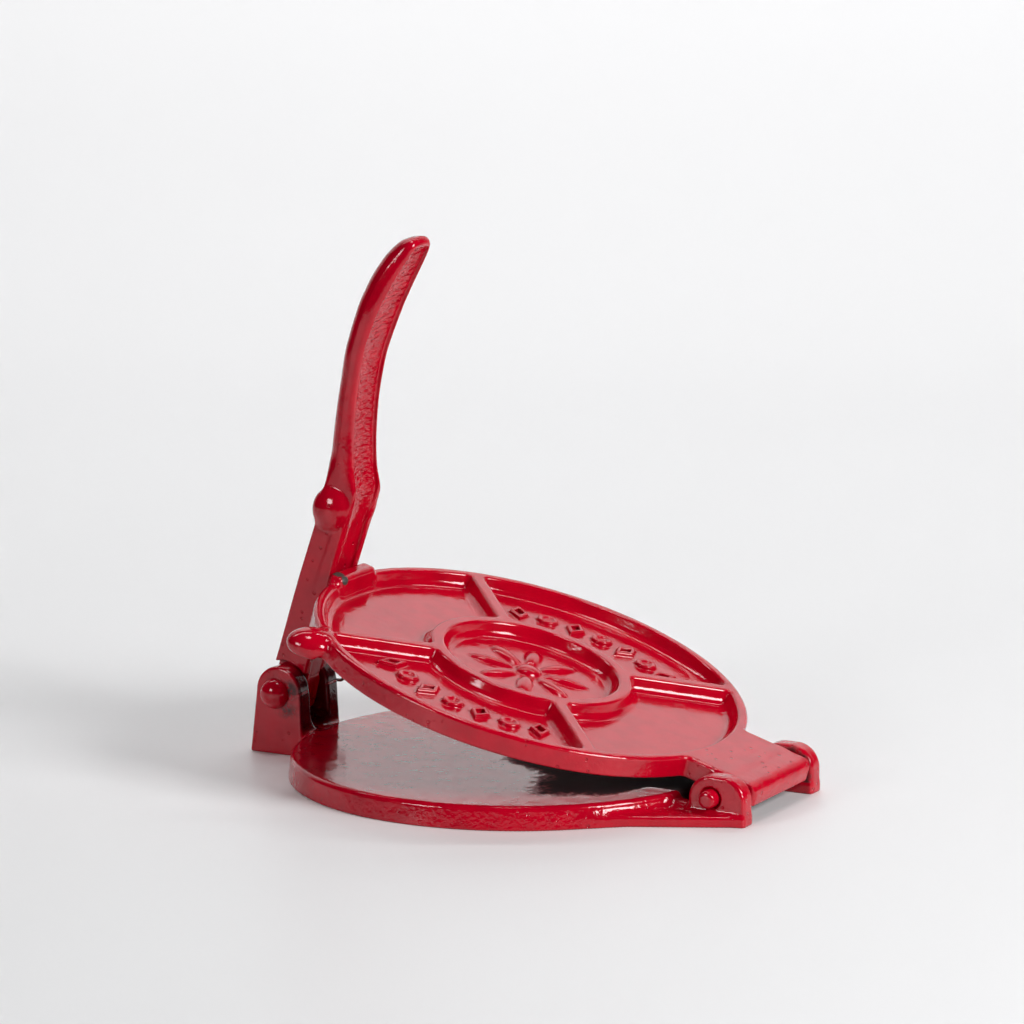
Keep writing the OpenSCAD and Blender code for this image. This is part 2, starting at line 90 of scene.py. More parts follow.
def outline(u, v, corners):
    """Signed distance to a closed polygon: the least distance to its sides, taken as negative
    where a ray from the point crosses them an odd number of times."""
    u, v = np.broadcast_arrays(u, v)
    least, odd = np.full(u.shape, 1e9), np.zeros(u.shape, bool)
    for (a, b), (c, d) in zip(corners, corners[1:] + corners[:1]):
        du, dv = c - a, d - b
        t = np.clip(((u - a) * du + (v - b) * dv) / (du * du + dv * dv), 0, 1)
        least = np.minimum(least, np.hypot(u - a - t * du, v - b - t * dv))
        if dv:
            odd ^= ((v >= b) != (v >= d)) & (u < a + (v - b) * du / dv)
    return np.where(odd, -least, least)


def egg(u, v, w, ru, rv, rw):
    """Near enough the signed distance to an ellipsoid of half sizes ru, rv, rw."""
    k0 = np.sqrt((u / ru) ** 2 + (v / rv) ** 2 + (w / rw) ** 2)
    k1 = np.sqrt((u / ru**2) ** 2 + (v / rv**2) ** 2 + (w / rw**2) ** 2)
    return k0 * (k0 - 1) / np.maximum(k1, 1e-6)


def step_up(u, lo, hi):
    """Smooth rise from 0 at lo to 1 at hi."""
    t = np.clip((u - lo) / (hi - lo), 0, 1)
    return t * t * (3 - 2 * t)


def swell(x, y, z, size, seed):
    """Slow unevenness between -1 and 1: a sum of five sine waves that run in different
    directions, each about size mm long."""
    rng = np.random.default_rng(seed)
    total = 0.0
    for _ in range(5):
        k = rng.normal(size=3)
        k *= 2 * math.pi / (size * rng.uniform(0.7, 1.5) * np.linalg.norm(k))
        total = total + np.sin(k[0] * x + k[1] * y + k[2] * z + rng.uniform(0, 6.28))
    return total / 5


# ---- Surfaces ----
def level_surface(dist, low, high, step):
    """The zero surface of dist(x, y, z). The box from low to high is cut into cells of size
    step; each cell that the surface passes through gets one point, the mean of where its edges
    are cut; the four cells round each cut edge make one face, turned to look outwards; and each
    point then moves along the gradient on to the surface. Gives points, faces and normals."""
    step = np.array(step, float) * COARSE
    low = np.array(low, float) - 2.3 * step
    count = np.ceil((np.array(high) - low) / step).astype(int) + 4
    axes = [low[k] + step[k] * np.arange(count[k]) for k in range(3)]
    f = np.broadcast_to(dist(*np.meshgrid(*axes, indexing="ij", sparse=True)), count).copy()
    f[f == 0] = 1e-9
    faces, cuts = [], []
    for axis in range(3):
        lower, upper = [slice(None)] * 3, [slice(None)] * 3
        lower[axis], upper[axis] = slice(None, -1), slice(1, None)
        near, far = f[tuple(lower)], f[tuple(upper)]
        at = np.argwhere((near < 0) != (far < 0))
        a, b = near[tuple(at.T)], far[tuple(at.T)]
        cut = at.astype(float)
        cut[:, axis] += a / (a - b)
        u, v = (axis + 1) % 3, (axis + 2) % 3
        cells = []
        for du, dv in ((-1, -1), (0, -1), (0, 0), (-1, 0)):
            cell = at.copy()
            cell[:, u] += du
            cell[:, v] += dv
            cells.append((cell[:, 0] * count[1] + cell[:, 1]) * count[2] + cell[:, 2])
        quad = np.stack(cells, axis=1)
        quad[a > 0] = quad[a > 0][:, ::-1]
        faces.append(quad)
        cuts.append(np.repeat(cut[:, None, :], 4, axis=1).reshape(-1, 3))
    faces, cuts = np.concatenate(faces), np.concatenate(cuts)
    _, index = np.unique(faces.ravel(), return_inverse=True)
    index = index.ravel()
    shares = np.bincount(index)
    points = np.stack([np.bincount(index, cuts[:, k]) / shares for k in range(3)], axis=1)
    points = low + points * step
    for _ in range(4):
        value, slope = rise(dist, points)
        shift = value / np.maximum((slope**2).sum(axis=1), 0.05)
        move = shift[:, None] * slope
        length = np.linalg.norm(move, axis=1, keepdims=True)
        points = points - move * np.minimum(1, 0.5 * step.min() / np.maximum(length, 1e-9))
    _, slope = rise(dist, points)
    normals = slope / np.maximum(np.linalg.norm(slope, axis=1, keepdims=True), 1e-9)
    return points, index.reshape(-1, 4).tolist(), normals


def rise(dist, points, h=0.04):
    """Value and gradient of dist at points, by differences over h mm each way."""
    x, y, z = points.T
    slope = np.stack([dist(x + h, y, z) - dist(x - h, y, z), dist(x, y + h, z) - dist(x, y - h, z),
                      dist(x, y, z + h) - dist(x, y, z - h)], axis=1) / (2 * h)
    return dist(x, y, z), slope


def turned(points, pivot, angle):
    """Points given from a pivot, turned by angle about an axis along Y and set on the pivot."""
    x, y, z = points.T
    c, s = math.cos(angle), math.sin(angle)
    return np.stack([x * c + z * s, y, z * c - x * s], axis=1) + pivot


def piece(name, points, faces, normals=None, marks=None):
    """A mesh piece from points in millimetres and a list of faces, with point marks that
    materials read. A mark that isn't given reads as 0."""
    mesh = bpy.data.meshes.new(name)
    mesh.from_pydata((points * 0.001).tolist(), [], faces)
    mesh.polygons.foreach_set("use_smooth", np.ones(len(faces), bool))
    for label, values in (marks or {}).items():
        stored = mesh.attributes.new(label, "FLOAT", "POINT")
        stored.data.foreach_set("value", np.asarray(values, np.float32))
    mesh.update()
    if normals is not None:
        mesh.normals_split_custom_set_from_vertices(normals.tolist())
    thing = bpy.data.objects.new(name, mesh)
    bpy.context.collection.objects.link(thing)
    return thing


# ---- Top plate ----
def diagonals(x, y):
    """Distances from the two lines that the ribs run along."""
    return np.abs(x - y) / math.sqrt(2), np.abs(x + y) / math.sqrt(2)


def ornament(x, y, w):
    """Raised work on the sunk floor: in each long sector an arc of lozenges with a sunk middle
    and studs with a dimple in turn, and in the medallion a rosette of eight egg-shaped petals
    round a button."""
    top = FLOOR + MOTIF_H
    raised = 1e3
    for middle in (90, -90):
        for i in range(7):
            a = math.radians(middle + (i - 3) * MOTIF_STEP)
            u = x * math.cos(a) + y * math.sin(a) - MOTIF_R
            v = y * math.cos(a) - x * math.sin(a)
            if i % 2 == 0:
                lozenge = (np.abs(u) / 7.5 + np.abs(v) / 4.4 - 1) * 3.8
                shape = meet(meet(lozenge, w - top, 0.9), -(lozenge + 2.1 + 0.5 * (w - top)), 0.7)
            else:
                across = np.hypot(u, v)
                dimple = egg(u, v, w - top - 0.3, 2.6, 2.6, 1.5)
                shape = meet(meet(across - 4.6, w - top, 0.9), -dimple, 0.5)
            raised = np.minimum(raised, shape)
    for i in range(8):
        a = math.radians((i + 0.5) * 45)
        u = x * math.cos(a) + y * math.sin(a) - 16.7
        v = y * math.cos(a) - x * math.sin(a)
        raised = np.minimum(raised, egg(u, v, w - FLOOR + 0.2, 9.7, 3.6, 2.3))
    raised = np.minimum(raised, egg(x, y, w - FLOOR, 5.4, 5.4, 2.7))
    return np.maximum(raised, 1.6 - w)


def top_plate(x, y, z):
    """The plate as it lies shut. Its plan is the disc and the tongue, drawn up to the rim's
    height; the sunk sectors and the medallion are taken out with sloping walls; the ornament,
    the nose, the lifting lug and the knuckle are joined on with fillets."""
    w = z - PLATE_Z
    radius = np.hypot(x, y)
    plan = join(radius - PLATE_R, oblong(x - 102.7, y, 22.8, TONGUE, 2.8), 2.0)
    body = meet(meet(plan, w - PLATE_T, 1.8), -w, 1.1)
    body = np.maximum(body, meet(x - 125.5, w - PLATE_T, 5.4))
    rib = np.minimum(*diagonals(x, y))
    band = meet(radius - (PLATE_R - RIM_W), RING_R + RIB_W / 2 - radius, 1.5)
    sector = meet(band, RIB_W / 2 - rib, 3.2)
    hollow = np.minimum(sector, radius - (RING_R - RIB_W / 2))
    run, sink = 2.6, PLATE_T - FLOOR
    wall = (sink * hollow - run * (w - PLATE_T)) / math.hypot(run, sink)
    sunk = meet(wall, FLOOR - w, 2.4)
    body = meet(body, -sunk, 0.9)
    body = join(body, ornament(x, y, w), 0.8)
    nose = meet(meet(slab(x + 92.5, 4.0), slab(w - 7.7, 5.7), 2.6), slab(y, 16.5), 5.0)
    body = join(body, nose, 2.6)
    a = math.radians(-132)
    u = x * math.cos(a) + y * math.sin(a)
    v = y * math.cos(a) - x * math.sin(a)
    floor = 1.3 - w - 2.2 * step_up(radius, 99.4, 101.0)
    horn = meet(egg(u - 98.2, v, w - 4.0, 12.4, 9.6, 7.0), floor, 1.8)
    body = join(body, np.maximum(horn, PLATE_R - 2.4 - radius), 2.4)
    off_axis = np.hypot(x - HINGE[0], z - HINGE[2])
    body = join(body, meet(off_axis - KNUCKLE_R, slab(y, TONGUE), 0.8), 2.0)
    body = np.maximum(body, -(off_axis - RUNNING_BORE))
    return body + 0.035 * swell(x, y, z, 9.0, 4)


# ---- Base ----
def base_casting(x, y, z):
    """The base: a disc; two spreading flanges that carry the hinge ears, each tied to the disc
    by a sloping web; and the clevis with its slot, all joined with fillets."""
    radius = np.hypot(x, y)
    side = np.abs(y)
    body = meet(0.994 * (radius - BASE_R + DRAFT * (z - 1.0)), z - BASE_T, 1.9)
    wedge = outline(x, side, [(68.6, FORK), (125.2, FORK), (125.2, 37.2), (84.3, 57.4),
                              (76.0, 62.7), (66.0, 68.6)])
    flange = meet(wedge, z - 4.6, 1.3)
    body = join(body, flange, 3.6)
    middle, over = HINGE[0] + EAR_LEN / 2, HINGE[2] - 0.9
    outer, inner = side - FORK - EAR_T, FORK - side
    beyond = np.maximum(np.abs(x - middle) - EAR_LEN / 2, 0)
    round_top = np.hypot(beyond, np.maximum(z - over, 0)) - EAR_R
    ear = meet(round_top, np.maximum(outer, inner), 1.7)
    web_side = outline(x, z, [(78.4, BELOW), (78.4, 8.8), (92.5, 8.2), (101.5, 7.0),
                              (HINGE[0], 5.6), (HINGE[0], BELOW)])
    web = meet(meet(web_side, outer + 0.6, 4.2), inner, 2.2)
    body = join(join(body, web, 2.6), ear, 2.2)
    cx, cz = PIVOT[0] + 1.3, PIVOT[2] + 0.9
    foot = outline(x, z, [(cx - 15.3, BELOW), (cx - CLEVIS_R, cz), (cx + 11.2, cz),
                          (cx + 12.2, BASE_T), (cx + 12.5, BELOW)])
    shape = np.minimum(np.hypot(x - cx, z - cz) - CLEVIS_R, foot)
    clevis = meet(shape, slab(y, CLEVIS_W), 1.4)
    body = join(body, clevis, 2.4)
    slot = np.hypot(y, np.minimum(z - BASE_T - SLOT, 0)) - SLOT
    slot = np.maximum(slot, slab(x - cx, 15.0))
    body = meet(body, -slot, 1.4)
    for axis in (HINGE, PIVOT):
        body = np.maximum(body, -(np.hypot(x - axis[0], z - axis[2]) - EAR_BORE))
    mouth = np.maximum(np.hypot(x - HINGE[0], z - HINGE[2]) - 4.7, FORK + EAR_T - 0.9 - side)
    body = meet(body, -mouth, 0.6)
    body = meet(body, -z, 0.7)
    return body + 0.04 * swell(x, y, z, 10.0, 11)


# ---- Lever ----
# Stations along the lever from its pin: depth of front and back from the pin's axis, half width
LEVER_S = [-14.0, 0.0, 18.0, 62.0, 84.0, 95.0, 106.7, 123.2, 139.7, 158.1, 174.6, 188.7, 199.4,
           207.7, 213.0]
LEVER_FRONT = [7.7, 7.7, 7.7, 7.7, 7.9, 8.2, 3.8, -1.2, -4.7, -6.7, -5.8, -3.6, -1.2, 0.5, 0.8]
LEVER_BACK = [-8.0, -8.0, -7.9, -7.2, -6.8, -7.8, -11.0, -14.1, -16.4, -18.2, -17.9, -16.2, -13.4,
              -9.2, -4.4]
LEVER_HALF = [9.2, 9.5, 9.8, 12.0, 12.3, 12.0, 12.1, 11.9, 12.0, 12.9, 13.4, 12.6, 11.2, 9.3, 7.4]
LEVER_END = 212.7


def eased(s, stations, values):
    """Smooth curve through the values at the stations: cubic pieces whose slopes at each
    station are the harmonic mean of the slopes on its two sides, and 0 at a peak."""
    t, v = np.array(stations), np.array(values)
    gap, chord = np.diff(t), np.diff(v) / np.diff(t)
    product = chord[:-1] * chord[1:]
    slope = np.zeros(len(v))
    total = np.where(product > 0, chord[:-1] + chord[1:], 1)
    slope[1:-1] = np.where(product > 0, 2 * product / total, 0)
    slope[0], slope[-1] = chord[0], chord[-1]
    i = np.clip(np.searchsorted(t, s, side="right") - 1, 0, len(gap) - 1)
    u = np.clip((s - t[i]) / gap[i], -0.2, 1.2)
    return ((1 + 2 * u) * (1 - u) ** 2 * v[i] + u * (1 - u) ** 2 * gap[i] * slope[i]
            + u * u * (3 - 2 * u) * v[i + 1] + u * u * (u - 1) * gap[i] * slope[i + 1])


def lever_casting(t, y, s):
    """The lever in its own frame: t forward, y across, s along it from the pin. The arm is a web
    that thickens from the foot, with a flange along its front from where it clears the clevis;
    past the domed bosses the section swells into the grip, round behind and hollow in front."""
    front, back = eased(s, LEVER_S, LEVER_FRONT), eased(s, LEVER_S, LEVER_BACK)
    half = eased(s, LEVER_S, LEVER_HALF)
    depth = (front - back) / 2
    middle = (front + back) / 2
    grip_share = step_up(s, 92, 112)
    # The front flange stands a little proud of the web, and runs out downwards
    flange = np.maximum(step_up(t - 2.6 + 0.04 * (84 - s), -1.0, 1.0), step_up(s, 76, 80))
    width = half - 0.5 * step_up(s, 40, 72) * (1 - flange) * (s < 90)
    width = 5.5 + (width - 5.5) * step_up(np.hypot(t, s), 12.75, 13.6)
    width = width - 1.0 * grip_share * ((t - middle) / depth) ** 2
    rounding = 1.1 + grip_share * (1.1 + 4.6 * (1 - step_up(t, middle - 3, front - 1)))
    rounding = np.minimum(rounding, np.minimum(half * 0.8, depth * 0.95))
    hollow_back = 1.8 * grip_share * (y / half) ** 2
    faces = np.maximum(t - front, back + hollow_back - t)
    arm = meet(np.abs(y) - width, faces * 0.97, rounding)
    foot = meet(np.hypot(t, s) - 11.4, np.abs(y) - 5.5, 1.3)
    arm = np.where(s > 0, np.minimum(np.maximum(arm, -s), foot), foot)
    arm = meet(arm, s + 0.015 * y * y - LEVER_END, 3.6)
    inside = half - 2.6 - 1.8 * (1 - step_up(s, 84, 100))
    sunk = 2.9 * (1 - 0.3 * (y / inside) ** 2) * step_up(s, 24, 60)
    end_wall = 0.7 * (s - 209.0 + 1.2 * (front - t))
    trough = meet(meet(np.abs(y) - inside, front - sunk - t, 1.2), end_wall, 1.6)
    arm = meet(arm, -trough, 0.7)
    for side in (-1, 1):
        boss = egg(t + 1.2, y - side * 10.3, s - 86.8, 9.2, 5.7, 9.9)
        arm = join(arm, boss, 1.2)
    arm = np.maximum(arm, -(np.hypot(t, s) - RUNNING_BORE))
    return (arm + 0.03 * swell(t, y, s, 8.0, 5)
            - 0.3 * lever_pebble(t, y, s) * swell(t, y * 0.5, s, 2.4, 9))


def lever_pebble(t, y, s):
    """1 in the rough cast floor of the grip's hollow, 0 elsewhere."""
    front, half = eased(s, LEVER_S, LEVER_FRONT), eased(s, LEVER_S, LEVER_HALF)
    inside = 1 - step_up(np.abs(y), half - 3.9, half - 3.1)
    return inside * step_up(front - t, 0.9, 1.8) * step_up(s, 82, 100) * (t > front - 6)


# ---- Turned and swept pieces ----
def lathe(name, profile, x, z, around=72):
    """A profile of (radius, y) points carried round an axis along Y through (x, z). The points
    of the profile that lie on the axis become one point each, so both ends are closed."""
    profile = np.array(profile, float)
    angle = 2 * math.pi * np.arange(around) / around
    body = profile[1:-1]
    ring = np.stack([x + body[:, :1] * np.cos(angle), np.broadcast_to(body[:, 1:], (len(body), around)),
                     z + body[:, :1] * np.sin(angle)], axis=2).reshape(-1, 3)
    ends = np.array([[x, profile[0, 1], z], [x, profile[-1, 1], z]])
    j, i = np.meshgrid(np.arange(len(body) - 1), np.arange(around), indexing="ij")
    a, b = j * around + i, j * around + (i + 1) % around
    quads = np.stack([a, a + around, b + around, b], axis=2).reshape(-1, 4)
    first, last = len(ring), len(ring) + 1
    k = np.arange(around)
    low = np.stack([np.full(around, first), k, (k + 1) % around], axis=1)
    top = (len(body) - 1) * around
    high = np.stack([np.full(around, last), top + (k + 1) % around, top + k], axis=1)
    return piece(name, np.concatenate([ring, ends]), quads.tolist() + low.tolist() + high.tolist())


def arc(cx, cy, rx, ry, a0, a1, steps):
    """Points on an ellipse from angle a0 to a1, in degrees."""
    a = np.radians(np.linspace(a0, a1, steps))
    return list(zip(cx + rx * np.cos(a), cy + ry * np.sin(a)))


def wire(name, path, radius, sides=16):
    """A round wire along a flat path of (x, z, y) points: rings square to the path's own
    direction, with a domed end on each side."""
    path = np.array(path, float)
    ahead = np.gradient(path, axis=0)
    ahead /= np.linalg.norm(ahead, axis=1, keepdims=True)
    dome = np.radians(np.linspace(84, 12, 6))
    before = [(path[0] - ahead[0] * radius * math.sin(a), ahead[0], radius * math.cos(a))
              for a in dome]
    after = [(path[-1] + ahead[-1] * radius * math.sin(a), ahead[-1], radius * math.cos(a))
             for a in dome[::-1]]
    rings = before + [(p, d, radius) for p, d in zip(path, ahead)] + after
    middle = np.array([r[0] for r in rings])
    way = np.array([r[1] for r in rings])
    size = np.array([r[2] for r in rings])[:, None, None]
    side = np.cross(way, [0, 1, 0])
    side /= np.linalg.norm(side, axis=1, keepdims=True)
    up = np.cross(side, way)
    angle = 2 * math.pi * np.arange(sides) / sides
    round_it = (np.cos(angle)[None, :, None] * side[:, None]
                + np.sin(angle)[None, :, None] * up[:, None])
    points = (middle[:, None] + size * round_it).reshape(-1, 3)
    j, i = np.meshgrid(np.arange(len(rings) - 1), np.arange(sides), indexing="ij")
    a, b = j * sides + i, j * sides + (i + 1) % sides
    quads = np.stack([a, b, b + sides, a + sides], axis=2).reshape(-1, 4)
    caps = [list(range(sides - 1, -1, -1)), list(range((len(rings) - 1) * sides, len(rings) * sides))]
    return piece(name, points, quads.tolist() + caps)


# ---- Materials ----
# The third red paints shade into pits and into the grooves of the grip's rough floor
RED_LIGHT, RED_DEEP, PIT_SHADE_RED = "#BA0220", "#AE021E", "#8A0214"
# The first two colours below are painted shade, in the clevis and under the plate; the third is soot
# with a painted shadow
CLEVIS_SHADE_RED, PAINTED_SHADE_BLACK, SOOT_AND_SHADOW, BARE_IRON = "#2E0810", "#0D0607", "#1E1214", "#3E3D38"


def colour(code):
    """Linear colour from an sRGB code such as #A01020."""
    parts = [int(code[i:i + 2], 16) / 255 for i in (1, 3, 5)]
    return tuple(c / 12.92 if c <= 0.04045 else ((c + 0.055) / 1.055) ** 2.4 for c in parts) + (1.0,)


def add(tree, kind, settings=None, **inputs):
    """Adds a node, sets its properties, and fills its inputs with values or with the outputs of
    other nodes. Underscores in input names stand for spaces, and i0, i1 ... number an input."""
    node = tree.nodes.new(kind)
    for key, value in (settings or {}).items():
        setattr(node, key, value)
    for key, value in inputs.items():
        numbered = key[0] == "i" and key[1:].isdigit()
        socket = node.inputs[int(key[1:]) if numbered else key.replace("_", " ")]
        if isinstance(value, bpy.types.NodeSocket):
            tree.links.new(value, socket)
        else:
            socket.default_value = value
    return node


def maths(tree, operation, a, b=0.0, c=0.0):
    """Output of a maths node."""
    return add(tree, "ShaderNodeMath", {"operation": operation}, i0=a, i1=b, i2=c).outputs[0]


def ramp(tree, value, lo, hi, to_lo=0.0, to_hi=1.0):
    """Value taken smoothly from the range lo..hi to to_lo..to_hi."""
    return add(tree, "ShaderNodeMapRange", {"interpolation_type": "SMOOTHSTEP"}, Value=value,
               From_Min=lo, From_Max=hi, To_Min=to_lo, To_Max=to_hi).outputs["Result"]


def blend(tree, share, a, b):
    """Colour a where share is 0 and b where it is 1."""
    return add(tree, "ShaderNodeMix", {"data_type": "RGBA"}, i0=share, i6=a, i7=b).outputs[2]


def material(name):
    """An empty material, its node tree, and its object coordinates in millimetres."""
    made = bpy.data.materials.new(name)
    made.use_nodes = True
    tree = made.node_tree
    tree.nodes.clear()
    place = add(tree, "ShaderNodeMapping", Vector=add(tree, "ShaderNodeTexCoord").outputs["Object"],
                Scale=(1000, 1000, 1000)).outputs["Vector"]
    return made, tree, place


def noise(tree, place, size, detail=2.0, rough=0.5):
    """Noise whose features are about size mm across, from 0 to 1."""
    return add(tree, "ShaderNodeTexNoise", Vector=place, Scale=1.0 / size, Detail=detail,
               Roughness=rough).outputs[0]


def mark(tree, name):
    """A point mark of the mesh."""
    return add(tree, "ShaderNodeAttribute", {"attribute_name": name}).outputs["Fac"]


def finish_material(made, tree, shader):
    """Puts the shader on the material's surface."""
    out = add(tree, "ShaderNodeOutputMaterial", Surface=shader.outputs[0])
    out.is_active_output = True
    return made


def crimson_enamel():
    """Gloss crimson enamel, sprayed thick over sand-cast iron: the paint hides the grain of the
    sand but keeps its waves, has orange peel and pinholes, and is mottled on the rims. It is
    worn through to grey iron at the nose's corner, and smudged with soot beside the pin's head,
    where the head's shadow is painted in too. Shade is painted into its colour as well: a deeper
    red in pits and grooves, dusky red in the clevis, and near black with a ragged border under
    the plate towards the hinge."""
    made, tree, place = material("crimson_enamel")
    peel = noise(tree, place, 1.6, 1.0)
    cast = noise(tree, place, 3.0, 2.0, 0.6)
    slow = noise(tree, place, 9.0, 2.0)
    fine = noise(tree, place, 0.6, 2.0)
    drawn_out = add(tree, "ShaderNodeMapping", Vector=place, Scale=(1.0, 0.4, 1.0)).outputs[0]
    worms = noise(tree, drawn_out, 1.5, 1.0)
    # Pits: a few of the cells of a 3.3 mm pattern, each as wide as its own random share allows
    spots = add(tree, "ShaderNodeTexVoronoi", Vector=place, Scale=0.30, Randomness=1.0)
    size = add(tree, "ShaderNodeSeparateColor", Color=spots.outputs["Color"])
    uneven = maths(tree, "MULTIPLY", fine, 0.5)
    near = maths(tree, "MULTIPLY_ADD", spots.outputs["Distance"], 3.33, uneven)
    reach = ramp(tree, size.outputs[0], 0.25, 1.0, -0.2, 1.1)
    hole = ramp(tree, maths(tree, "SUBTRACT", reach, near), -0.1, 0.35)
    pit = maths(tree, "MULTIPLY", hole, mark(tree, "pitted"))
    ragged = maths(tree, "MULTIPLY_ADD", maths(tree, "SUBTRACT", fine, 0.5), 0.7, mark(tree, "chip"))
    bare = ramp(tree, ragged, 0.45, 0.6)
    waves = maths(tree, "MULTIPLY_ADD", maths(tree, "SUBTRACT", cast, 0.5), 6.0,
                  maths(tree, "MULTIPLY", maths(tree, "SUBTRACT", slow, 0.5), 3.0))
    # The waves move only the border of the painted shade, where its mark is between 0 and 1
    between = maths(tree, "MULTIPLY", mark(tree, "thin"),
                    maths(tree, "SUBTRACT", 1.0, mark(tree, "thin")))
    thin = ramp(tree, maths(tree, "MULTIPLY_ADD", waves, between, mark(tree, "thin")), 0.1, 0.9)
    smudge = ramp(tree, noise(tree, place, 2.2, 4.0, 0.65), 0.34, 0.56)
    soot_and_shadow = maths(tree, "MULTIPLY", mark(tree, "soot_and_shadow"), smudge)
    tone = blend(tree, ramp(tree, slow, 0.35, 0.7), colour(RED_LIGHT), colour(RED_DEEP))
    # Pits and the grooves of the rough floor are painted a deeper red as shade
    tone = blend(tree, maths(tree, "MULTIPLY", pit, 0.35), tone, colour(PIT_SHADE_RED))
    grooves = maths(tree, "MULTIPLY", ramp(tree, worms, 0.58, 0.4), mark(tree, "rough"))
    tone = blend(tree, maths(tree, "MULTIPLY", grooves, 0.3), tone, colour(PIT_SHADE_RED))
    # Painted shade in the clevis's slot and on its faces towards the plate
    tone = blend(tree, maths(tree, "MULTIPLY", mark(tree, "clevis_shade"), 0.9), tone, colour(CLEVIS_SHADE_RED))
    # Painted shade, near black, under the plate towards the hinge
    tone = blend(tree, maths(tree, "MULTIPLY", thin, 0.96), tone, colour(PAINTED_SHADE_BLACK))
    # Soot beside the pin's head, with the head's shadow painted in
    tone = blend(tree, maths(tree, "MULTIPLY", soot_and_shadow, 0.9), tone, colour(SOOT_AND_SHADOW))
    tone = blend(tree, bare, tone, colour(BARE_IRON))
    height = maths(tree, "MULTIPLY_ADD", slow, 0.10, maths(tree, "MULTIPLY", peel, 0.03))
    for pattern, depth in ((cast, maths(tree, "MULTIPLY_ADD", mark(tree, "mottled"), 0.25, 0.09)),
                           (worms, maths(tree, "MULTIPLY", mark(tree, "rough"), 0.8)),
                           (fine, maths(tree, "MULTIPLY", thin, 0.10))):
        height = maths(tree, "MULTIPLY_ADD", pattern, depth, height)
    height = maths(tree, "MULTIPLY_ADD", pit, -0.3, height)
    height = maths(tree, "MULTIPLY_ADD", bare, -0.15, height)
    bump = add(tree, "ShaderNodeBump", Strength=1.0, Distance=0.001, Height=height)
    gloss = maths(tree, "MULTIPLY_ADD", ramp(tree, noise(tree, place, 14, 3.0), 0.4, 0.7), 0.04, 0.09)
    gloss = maths(tree, "MULTIPLY_ADD", maths(tree, "MAXIMUM", bare, soot_and_shadow), 0.35, gloss)
    gloss = maths(tree, "MULTIPLY_ADD", thin, 0.85, gloss)
    shader = add(tree, "ShaderNodeBsdfPrincipled", Base_Color=tone, Roughness=gloss, IOR=1.5,
                 Normal=bump.outputs[0])
    return finish_material(made, tree, shader)


def wire_steel():
    """Drawn spring wire, dark from oil and handling: dull grey metal with faint brown stains."""
    made, tree, place = material("spring_wire_steel")
    stain = ramp(tree, noise(tree, place, 2.5, 3.0), 0.45, 0.7)
    tone = blend(tree, stain, colour("#6E6A66"), colour("#4A3B33"))
    shader = add(tree, "ShaderNodeBsdfPrincipled", Base_Color=tone, Metallic=1.0,
                 Roughness=ramp(tree, stain, 0.0, 1.0, 0.32, 0.5))
    return finish_material(made, tree, shader)


def plain(name, code, rough):
    """A flat-toned, unglossy surface of the studio."""
    made, tree, _ = material(name)
    shader = add(tree, "ShaderNodeBsdfPrincipled", Base_Color=colour(code), Roughness=rough, IOR=1.4)
    return finish_material(made, tree, shader)


ENAMEL, STEEL = crimson_enamel(), wire_steel()


def dress(thing, node, body, stuff):
    """Gives a piece its material and body, and lets it stand for its CAD node."""
    thing.data.materials.append(stuff)
    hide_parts(node)
    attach(thing, body)
    return thing


# ---- The object ----
def fade(p, at, size):
    """1 at a place, falling to 0 at the given half sizes from it."""
    return np.clip(1 - np.sqrt((((p - np.array(at)) / np.array(size)) ** 2).sum(axis=1)), 0, 1)


def build_plate():
    """The plate, made as it lies shut and then turned open about the hinge. Its paint is chipped
    at the nose's corner and pitted round the outside and on the tongue; beneath, towards the hinge,
    shade is painted on."""
    low, high, step = (-112, -96, 2.2), (126, 96, 25), (0.9, 0.9, 0.62)
    p, faces, normals = level_surface(top_plate, low, high, step)
    x, y, z = p.T
    chip = np.maximum(fade(p, (-93.6, -12.0, 24.0), (4.6, 3.2, 2.6)),
                      fade(p, (-89.2, -12.4, 22.6), (2.6, 2.8, 3.2)))
    outer = step_up(np.hypot(x, y), 93.5, 94.5)
    under = step_up(-normals[:, 2], 0.2, 0.8)
    upright = step_up(np.hypot(normals[:, 0], normals[:, 1]), 0.6, 0.95)
    marks = {"chip": np.clip(1.7 * chip, 0, 1),
             "pitted": np.clip(outer + 0.45 * step_up(x, 84, 92), 0, 1),
             "mottled": 0.5 * upright * outer + 0.4 * step_up(x, 113, 118),
             # Painted shade on the underside towards the hinge
             "thin": under * step_up(x, 55, 90)}
    p = turned(p - HINGE, HINGE, OPEN)
    normals = turned(normals, np.zeros(3), OPEN)
    thing = piece("plate_casting", p, faces, normals, marks)
    return dress(thing, "top_plate", "plate_body", ENAMEL)


def shade_under_plate(x, y, z):
    """Where shade is painted on the base: its top under the plate towards the hinge, with soft edges.
    """
    side = np.abs(y)
    start = 4 + 28 * step_up(side, 12, 34) + 9 * step_up(side, 34, 68)
    fork = step_up(x, 70, 79)
    lit = (64 - 0.55 * (x - 43)) * (1 - fork) + (FORK + 0.2) * fork
    soft = 13 - 11.5 * fork
    return step_up(x - start, -12, 12) * (1 - step_up(side - lit, -soft, 0.8 * soft)) * (z > 5)


